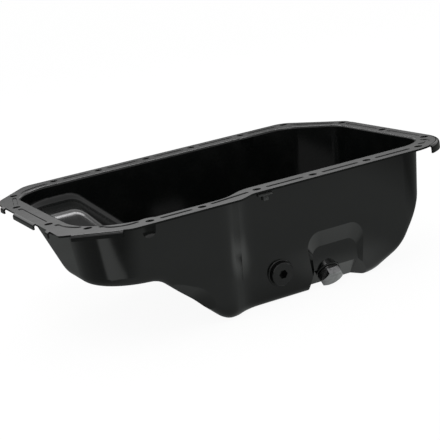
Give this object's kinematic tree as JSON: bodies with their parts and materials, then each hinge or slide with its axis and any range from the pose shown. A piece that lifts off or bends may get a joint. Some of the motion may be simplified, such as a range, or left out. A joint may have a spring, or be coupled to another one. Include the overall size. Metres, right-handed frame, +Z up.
{
  "type": "engine oil pan",
  "caption": "Pressed steel engine oil pan with a deep rear sump, a shallow front, a bolted gasket flange, a side plug and a drain plug set at an angle, painted gloss black.",
  "frame": {"origin": "the middle of the gasket face, on the plane of the flange's top: half way between the bolt holes of the two long sides, and half way between the outermost bolt holes of the two ends", "axes": "+X runs along the pan from the shallow front to the deep sump at the rear, +Y points to the side without plugs, +Z points up out of the open pan, towards the engine block"},
  "size_m": [0.407, 0.286, 0.12],
  "materials": {
    "pan_paint": "gloss black paint over pressed steel sheet",
    "boss_paint": "gloss black paint over turned steel",
    "seal_metal": "dark soft metal sealing ring",
    "side_plug_steel": "satin black plug",
    "drain_plug_steel": "dark polished steel plug"
  },
  "bodies": {
    "root": {"oil_pan": "pan_paint", "side_boss": "boss_paint", "side_seal": "seal_metal", "side_plug": "side_plug_steel", "drain_boss": "boss_paint", "drain_washer": "seal_metal", "drain_plug": "drain_plug_steel"}
  },
  "joints": []
}
